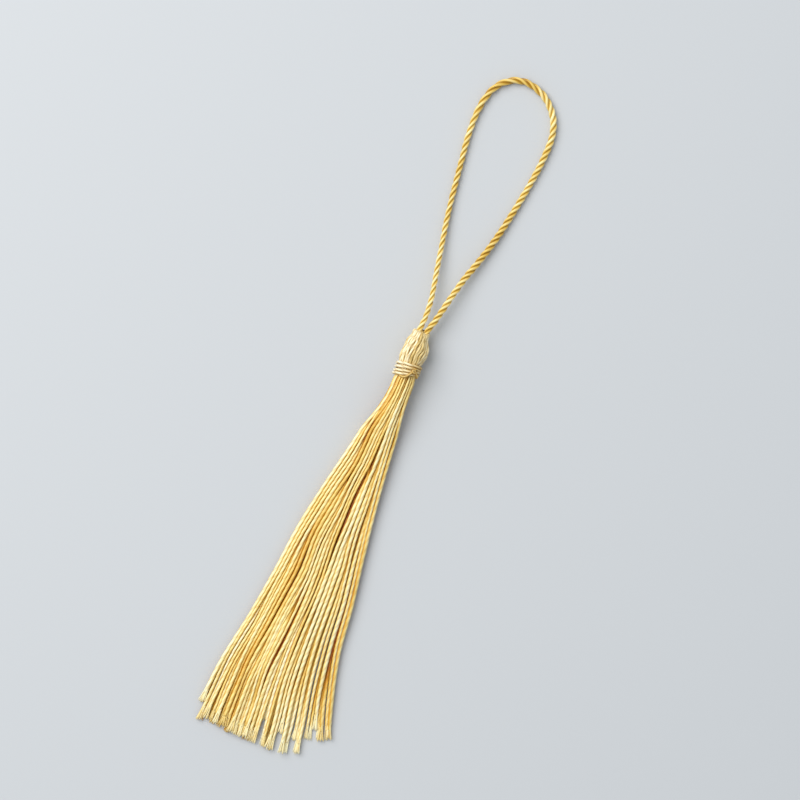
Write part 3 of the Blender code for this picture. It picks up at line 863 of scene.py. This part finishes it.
BINDING_RADIUS = 0.00220  # the head's axis to the yarn's middle
BINDING_TURNS = 4.1
BINDING_PITCH = 0.00056
BINDING_STARTS = 0.00618  # distance from the crown to the middle of the first turn
BINDING_SIZE = 0.92  # of the yarn's usual radius
BINDING_FIRST_ANGLE = -math.pi / 3.0
BINDING_FLATNESS = -0.04
BINDING_UNEVEN = (1.3, 0.00004)  # slow waves: turns, how far the yarn strays in and out,
BINDING_STRAY = (0.8, 0.00005)  # how far it strays along the neck,
BINDING_TONES = (0.5, 0.1)  # and how its tone changes
BINDING_TONE = 0.72
# turns wound so far, slant of that turn, bow towards the crown in its middle
BINDING_SLANTS = [
    (0.0, 0.05, 0.00020),
    (1.0, 0.09, 0.00012),
    (2.0, 0.14, 0.00004),
    (3.0, 0.19, 0.00000),
    (4.1, 0.22, 0.00000),
]
# The end of the binding yarn goes up over the wraps, under them, and is cut off below
# place across the neck, distance from the crown, height above the wraps' middle
TIE_ROUTE = [
    (-0.00120, 0.00868, -0.00030),
    (-0.00060, 0.00878, 0.00004),
    (0.00000, 0.00856, 0.00026),
    (0.00045, 0.00806, 0.00044),
    (0.00082, 0.00746, 0.00050),
    (0.00112, 0.00692, 0.00044),
    (0.00140, 0.00664, 0.00020),
    (0.00164, 0.00684, -0.00008),
    (0.00152, 0.00728, 0.00026),
    (0.00118, 0.00744, 0.00070),
    (0.00086, 0.00726, 0.00076),
    (0.00094, 0.00694, 0.00056),
    (0.00140, 0.00718, 0.00052),
    (0.00180, 0.00768, 0.00040),
    (0.00204, 0.00806, 0.00022),
]
TIE_SIZE = 0.74
TIE_TONE = 0.28
SIDES_PAINTED_LIGHT_AND_SHADE = 0.36  # painted light and shade: how much paler the wraps are at the left, towards the light, than on top, and deeper at the right


def make_binding(material):
    rng = numpy.random.default_rng(BUILD_SEED + 2)
    tubes = TubeMesh()
    length = BINDING_TURNS * math.tau * BINDING_RADIUS
    count = int(length / WOUND_STEP) + 1
    wound = numpy.linspace(0.0, BINDING_TURNS, count)
    angle = math.tau * wound + BINDING_FIRST_ANGLE
    slants = numpy.array(BINDING_SLANTS)
    slant, bow = smooth_values(wound, slants[:, 0], slants[:, 1:]).T
    radius = BINDING_RADIUS + slow_wave(rng, wound, *BINDING_UNEVEN)
    xs = HEAD_SHIFT + radius * numpy.cos(angle)
    distance = BINDING_STARTS + BINDING_PITCH * wound + slow_wave(rng, wound, *BINDING_STRAY)
    ys = CROWN_Y - distance + slant * xs + bow * numpy.maximum(numpy.sin(angle), 0.0)
    # painted light on the wraps' left side and painted shade on their right
    tone = BINDING_TONE - SIDES_PAINTED_LIGHT_AND_SHADE * numpy.cos(angle) + slow_wave(rng, wound, *BINDING_TONES)
    add_wound(tubes, angle, radius, xs, ys, BINDING_SIZE, BINDING_FLATNESS, length, tone)
    add_tie(tubes)
    piece = place("wound_binding", tubes.mesh("wound_binding"), material)
    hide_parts("neck_binding")


def add_tie(tubes):
    """The knotted end of the binding yarn, on the neck's upper right."""
    length = smooth_route(TIE_ROUTE, 2)[1]
    count = int(length / WOUND_STEP) + 1
    route = smooth_route(TIE_ROUTE, count)[0]
    xs, distance, lift = route.T
    reach = BINDING_RADIUS + lift
    angle = numpy.arccos(numpy.clip(xs / reach, -1.0, 1.0))
    add_wound(tubes, angle, reach, xs, CROWN_Y - distance, TIE_SIZE, 0.0, length, TIE_TONE)


# Hanging loop

def make_loop(material):
    """The twisted cord, its plies laid right-handed round the route."""
    rng = numpy.random.default_rng(BUILD_SEED + 3)
    first = (LOOP_ROUTE[0][0], LOOP_ROUTE[0][1] - CORD_SINK, LOOP_ROUTE[0][2])
    last = (LOOP_ROUTE[-1][0], LOOP_ROUTE[-1][1] - CORD_SINK, LOOP_ROUTE[-1][2])
    points = [first] + LOOP_ROUTE + [last]
    whole = smooth_route(points, 2)[1]
    count = int(whole / CORD_STEP) + 1
    route = smooth_route(points, count)[0]
    reached = numpy.linspace(0.0, whole, count)
    lays = numpy.array(CORD_LAYS)
    lay, thick, own_tone = smooth_values(reached / whole, lays[:, 0], lays[:, 1:]).T
    rounds = numpy.cumsum(numpy.full(count, whole / (count - 1)) / lay)
    along = unit(numpy.gradient(route, axis=0))
    sideways = unit(numpy.cross((0.0, 0.0, 1.0), along))
    upwards = numpy.cross(along, sideways)
    rib_angle = math.tau * numpy.arange(PLY_SIDES) / PLY_SIDES
    tubes = TubeMesh()
    for ply in range(CORD_PLIES):
        turned = math.tau * (rounds + ply / CORD_PLIES)
        outwards = numpy.cos(turned)[:, None] * sideways + numpy.sin(turned)[:, None] * upwards
        offset = PLY_OFFSET * thick + slow_wave(rng, reached, *PLY_STRAY)
        middles = route + offset[:, None] * outwards
        size = PLY_RADIUS * thick + slow_wave(rng, reached, *PLY_SWELL)
        ribs = 1.0 + RIB_DEPTH * numpy.cos(PLY_RIBS * rib_angle)[None, :]
        radii = size[:, None] * ribs
        middles[:, 2] = numpy.maximum(middles[:, 2], radii.max(axis=1) + LEAST_LIFT)
        turns = PLY_TWIST * rounds
        tone = own_tone + PLY_TONES * (ply - 1)
        tubes.add(middles, outwards, radii, math.tau * turns, turns, tone)
    piece = place("twisted_loop", tubes.mesh("twisted_loop"), material)
    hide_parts("hanging_loop")
    free_length = smooth_route(LOOP_ROUTE, count)[1]


# Materials

RAMP_STOPS = (0.0, 0.28, 0.55, 1.0)
# colours at these stops, from deep, which also serves as painted shade between the threads, to
# pale, which also serves as painted light on top of them
CORD_COLOURS = [(0.34, 0.15, 0.01), (0.54, 0.30, 0.03), (0.76, 0.50, 0.10), (0.98, 0.83, 0.42)]
YARN_COLOURS = [(0.36, 0.06, 0.001), (0.69, 0.35, 0.025), (0.93, 0.70, 0.22), (1.00, 0.94, 0.63)]
FOLDED_COLOURS = [(0.46, 0.24, 0.03), (0.62, 0.42, 0.12), (0.83, 0.63, 0.28), (1.00, 0.88, 0.60)]
BINDING_COLOURS = [(0.46, 0.23, 0.03), (0.62, 0.38, 0.09), (0.84, 0.62, 0.27), (1.00, 0.90, 0.64)]
# painted shade: colours of the grooves between the plies
CORD_GROOVE_SHADE = (0.38, 0.21, 0.04)
YARN_GROOVE_SHADE = (0.60, 0.25, 0.01)
FOLDED_GROOVE_SHADE = (0.44, 0.27, 0.07)
BINDING_GROOVE_SHADE = (0.46, 0.27, 0.06)
FILAMENT_ROUND = 1.1  # reach of the threads' noise round a yarn
FILAMENT_ALONG = 0.6  # and along it, for each turn
THREAD_TONE = 0.40  # shares of threads, patches and a yarn's tone, with its painted light and shade, in the colour
PATCH_TONE = 0.10
TONE_WITH_SHADE_SHARE = 0.85
TONE_START = 0.22  # the sum that has the deepest colour
GROOVE_SHARPNESS = 3.0
# values of the shaders' and textures' inputs
SILK = {
    "Metallic": 0.0,
    "IOR": 1.53,
    "Specular IOR Level": 0.6,
    "Specular Tint": (1.0, 0.88, 0.60, 1.0),
    "Anisotropic": 0.55,
    "Sheen Weight": 0.03,
    "Sheen Roughness": 0.35,
    "Sheen Tint": (1.0, 0.86, 0.50, 1.0),
}
THREADS = {"Scale": 2.2, "Detail": 3.0, "Roughness": 0.6}
PATCHES = {"Scale": 420.0, "Detail": 2.0}
THREAD_BUMP = {"Strength": 0.35, "Distance": 0.00003}
FLOOR = {"Roughness": 0.75, "Specular IOR Level": 0.2, "Base Color": (0.565, 0.572, 0.576, 1.0)}


def node(tree, kind, inputs=None, **values):
    """A new node with these values, and with others in its inputs."""
    made = tree.nodes.new(kind)
    for name, value in values.items():
        setattr(made, name, value)
    for name, value in (inputs or {}).items():
        made.inputs[name].default_value = value
    return made


def new_material(name, values):
    """A material whose shader has these values, and that shader."""
    material = bpy.data.materials.new(name)
    material.use_nodes = True
    tree = material.node_tree
    tree.nodes.clear()
    shader = node(tree, "ShaderNodeBsdfPrincipled", values)
    output = node(tree, "ShaderNodeOutputMaterial")
    tree.links.new(shader.outputs[0], output.inputs[0])
    return material, shader


def maths(tree, operation, first, second):
    made = node(tree, "ShaderNodeMath", operation=operation)
    for index, value in enumerate((first, second)):
        if isinstance(value, (int, float)):
            made.inputs[index].default_value = value
        else:
            tree.links.new(value, made.inputs[index])
    return made.outputs[0]


def ramp(tree, factor, stops):
    stops = list(stops)
    made = node(tree, "ShaderNodeValToRGB")
    while len(made.color_ramp.elements) < len(stops):
        made.color_ramp.elements.new(1.0)
    for element, (position, colour) in zip(made.color_ramp.elements, stops):
        element.position = position
        element.color = (*colour, 1.0)
    tree.links.new(factor, made.inputs["Fac"])
    return made.outputs["Color"]


def silky_material(name, colours, groove_shade, groove_shade_share, plies, roughness):
    """Silky rayon: filaments along the yarn, painted shade between plies, a soft broad gloss."""
    material, shader = new_material(name, SILK)
    shader.inputs["Roughness"].default_value = roughness
    tree = material.node_tree
    grain = node(tree, "ShaderNodeUVMap", uv_map="round_and_along")
    parts = node(tree, "ShaderNodeSeparateXYZ")
    tree.links.new(grain.outputs[0], parts.inputs[0])
    round_it, along_it = parts.outputs[0], parts.outputs[1]
    tangent = node(tree, "ShaderNodeTangent", direction_type="UV_MAP", uv_map="round_and_along")
    tree.links.new(tangent.outputs[0], shader.inputs["Tangent"])
    # Filaments run nearly along the yarn, so they slip back against its plies
    straight = maths(tree, "MULTIPLY", maths(tree, "ADD", round_it, along_it), math.tau)
    filament = node(tree, "ShaderNodeCombineXYZ")
    for axis, operation in enumerate(("COSINE", "SINE")):
        round_place = maths(tree, operation, straight, 0.0)
        round_place = maths(tree, "MULTIPLY", round_place, FILAMENT_ROUND)
        tree.links.new(round_place, filament.inputs[axis])
    tree.links.new(maths(tree, "MULTIPLY", along_it, FILAMENT_ALONG), filament.inputs[2])
    threads = node(tree, "ShaderNodeTexNoise", THREADS)
    tree.links.new(filament.outputs[0], threads.inputs["Vector"])
    # Colour: each yarn's tone with its painted light and shade, threads, patches, and painted
    # shade in the grooves between the plies
    own = node(tree, "ShaderNodeAttribute", attribute_name="tone")
    patches = node(tree, "ShaderNodeTexNoise", PATCHES)
    where = node(tree, "ShaderNodeTexCoord")
    tree.links.new(where.outputs["Object"], patches.inputs["Vector"])
    mixed = maths(tree, "ADD", maths(tree, "MULTIPLY", threads.outputs[0], THREAD_TONE),
                  maths(tree, "MULTIPLY", patches.outputs[0], PATCH_TONE))
    mixed = maths(tree, "ADD", mixed, maths(tree, "MULTIPLY", own.outputs["Fac"], TONE_WITH_SHADE_SHARE))
    tint = maths(tree, "SUBTRACT", mixed, TONE_START)
    colour = ramp(tree, tint, zip(RAMP_STOPS, colours))
    wave = maths(tree, "COSINE", maths(tree, "MULTIPLY", round_it, math.tau * plies), 0.0)
    inner = maths(tree, "MULTIPLY", maths(tree, "SUBTRACT", 1.0, wave), 0.5)
    inner = maths(tree, "POWER", inner, GROOVE_SHARPNESS)
    shade = node(tree, "ShaderNodeMix", data_type="RGBA", blend_type="MIX")
    tree.links.new(maths(tree, "MULTIPLY", inner, groove_shade_share), shade.inputs["Factor"])
    tree.links.new(colour, shade.inputs["A"])
    shade.inputs["B"].default_value = (*groove_shade, 1.0)
    tree.links.new(shade.outputs["Result"], shader.inputs["Base Color"])
    bump = node(tree, "ShaderNodeBump", THREAD_BUMP)
    tree.links.new(threads.outputs[0], bump.inputs["Height"])
    tree.links.new(bump.outputs[0], shader.inputs["Normal"])
    return material


# Surface and light

FLOOR_SIZE = 1.2
# name, side towards the picture's right, side towards its top, height, size, power
LIGHTS = [
    ("key", -0.36, 0.32, 0.60, 0.75, 5.9),
]
SKY = (0.86, 0.93, 1.0)
SKY_STRENGTH = 0.61


def make_floor():
    mesh = bpy.data.meshes.new("surface")
    half = FLOOR_SIZE / 2.0
    corners = [(-half, -half, 0.0), (half, -half, 0.0), (half, half, 0.0), (-half, half, 0.0)]
    mesh.from_pydata(corners, [], [(0, 1, 2, 3)])
    floor = bpy.data.objects.new("surface", mesh)
    bpy.context.scene.collection.objects.link(floor)
    mesh.materials.append(new_material("pale_surface", FLOOR)[0])


def make_lights():
    right = numpy.array((math.cos(VIEW_TURN), math.sin(VIEW_TURN), 0.0))
    top = numpy.array((-math.sin(VIEW_TURN), math.cos(VIEW_TURN), 0.0))
    centre = numpy.array((*VIEW_CENTRE, 0.0))
    for name, to_right, to_top, height, size, power in LIGHTS:
        light = bpy.data.objects.new(name, bpy.data.lights.new(name, "AREA"))
        bpy.context.scene.collection.objects.link(light)
        spot = centre + to_right * right + to_top * top + numpy.array((0.0, 0.0, height))
        light.location = spot
        light.rotation_euler = (
            math.acos(height / numpy.linalg.norm(spot - centre)),
            0.0,
            math.atan2(*(centre - spot)[:2][::-1]) - math.pi / 2.0,
        )
        light.data.shape = "DISK"
        light.data.size = size
        light.data.energy = power
    world = bpy.data.worlds.new("soft_room")
    world.use_nodes = True
    background = world.node_tree.nodes["Background"]
    background.inputs["Color"].default_value = (*SKY, 1.0)
    background.inputs["Strength"].default_value = SKY_STRENGTH
    bpy.context.scene.world = world


def main():
    bpy.context.scene.view_settings.view_transform = "Standard"
    make_camera()
    cord = silky_material("twisted_cord", CORD_COLOURS, CORD_GROOVE_SHADE,
                          groove_shade_share=0.6, plies=0.0, roughness=0.28)
    make_loop(cord)
    yarn = silky_material("silky_yarn", YARN_COLOURS, YARN_GROOVE_SHADE,
                          groove_shade_share=0.40, plies=2.0, roughness=0.30)
    make_skirt(yarn)
    folded = silky_material("folded_yarn", FOLDED_COLOURS, FOLDED_GROOVE_SHADE,
                            groove_shade_share=0.6, plies=2.0, roughness=0.30)
    make_head(folded)
    binding = silky_material("binding_yarn", BINDING_COLOURS, BINDING_GROOVE_SHADE,
                             groove_shade_share=0.6, plies=2.0, roughness=0.34)
    make_binding(binding)
    make_floor()
    make_lights()


main()
